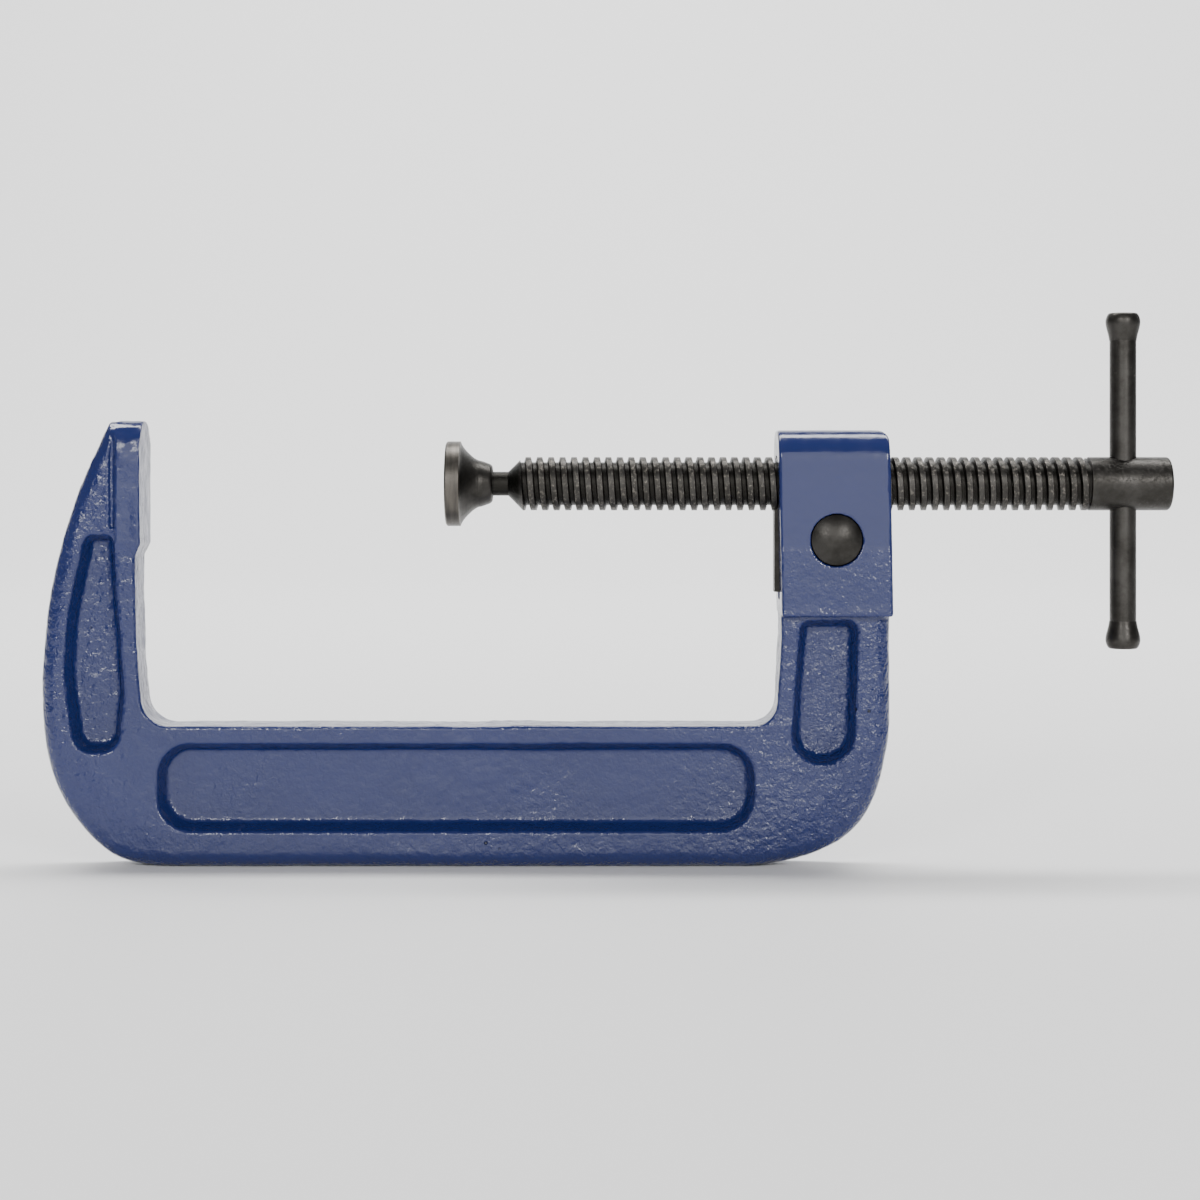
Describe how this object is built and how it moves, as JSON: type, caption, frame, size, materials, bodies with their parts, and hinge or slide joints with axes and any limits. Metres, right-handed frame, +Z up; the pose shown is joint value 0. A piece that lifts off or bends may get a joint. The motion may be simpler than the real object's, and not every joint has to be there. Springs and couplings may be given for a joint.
{
  "type": "c clamp",
  "caption": "Quick-release C clamp: cast frame with sunk panels, steel screw with a swivel pad and tommy bar, and a push button that frees the half nut.",
  "frame": {"origin": "the point of the anvil's face on the screw's axis", "axes": "+X along the screw from the anvil to the tommy bar, +Y across the casting away from the release button, +Z up from the spine to the screw"},
  "size_m": [0.2943, 0.0234, 0.1443],
  "materials": {
    "blue_enamel": "glossy blue enamel over a rough casting",
    "black_steel": "black-oxided steel, worn bright on the thread's crests",
    "spring_steel": "plain spring steel"
  },
  "bodies": {
    "clamp_frame": {"frame": "blue_enamel", "button_spring": "spring_steel"},
    "ring": {"pad_ring": "spring_steel"},
    "spindle": {"screw": "black_steel"},
    "pad": {"swivel_pad": "black_steel"},
    "handle": {"tommy_bar": "black_steel", "bar_knob_upper": "black_steel", "bar_knob_lower": "black_steel"},
    "button": {"release_button": "black_steel"},
    "nut": {"half_nut": "black_steel"}
  },
  "joints": [
    {"name": "screw_travel", "type": "slide", "parent": "clamp_frame", "child": "ring", "axis": [1, 0, 0], "range_m": [-0.051, 0.072]},
    {"name": "screw_turn", "type": "hinge", "parent": "ring", "child": "spindle", "pos_m": [0.17, 0, 0], "axis": [1, 0, 0], "range_deg": [-6120, 8640]},
    {"name": "pad_tilt", "type": "hinge", "parent": "ring", "child": "pad", "pos_m": [0.0856, 0, 0], "axis": [0, 1, 0], "range_deg": [-5, 5]},
    {"name": "bar_slide", "type": "slide", "parent": "spindle", "child": "handle", "axis": [0, 0, 1], "range_m": [-0.03, 0.0287]},
    {"name": "button_press", "type": "slide", "parent": "clamp_frame", "child": "button", "axis": [0, 1, 0], "range_m": [0, 0.004], "stiffness_N_per_m": 1500, "springref_m": -0.004, "deforming": ["button_spring"]},
    {"name": "half_nut_drop", "type": "slide", "parent": "clamp_frame", "child": "nut", "axis": [0, 0, -1], "range_m": [0, 0.0014]}
  ],
  "couplings": [
    {"joint": "screw_travel", "follows": "screw_turn", "m_per_rad": 0.00047746},
    {"joint": "half_nut_drop", "follows": "button_press", "ratio": 0.35}
  ]
}
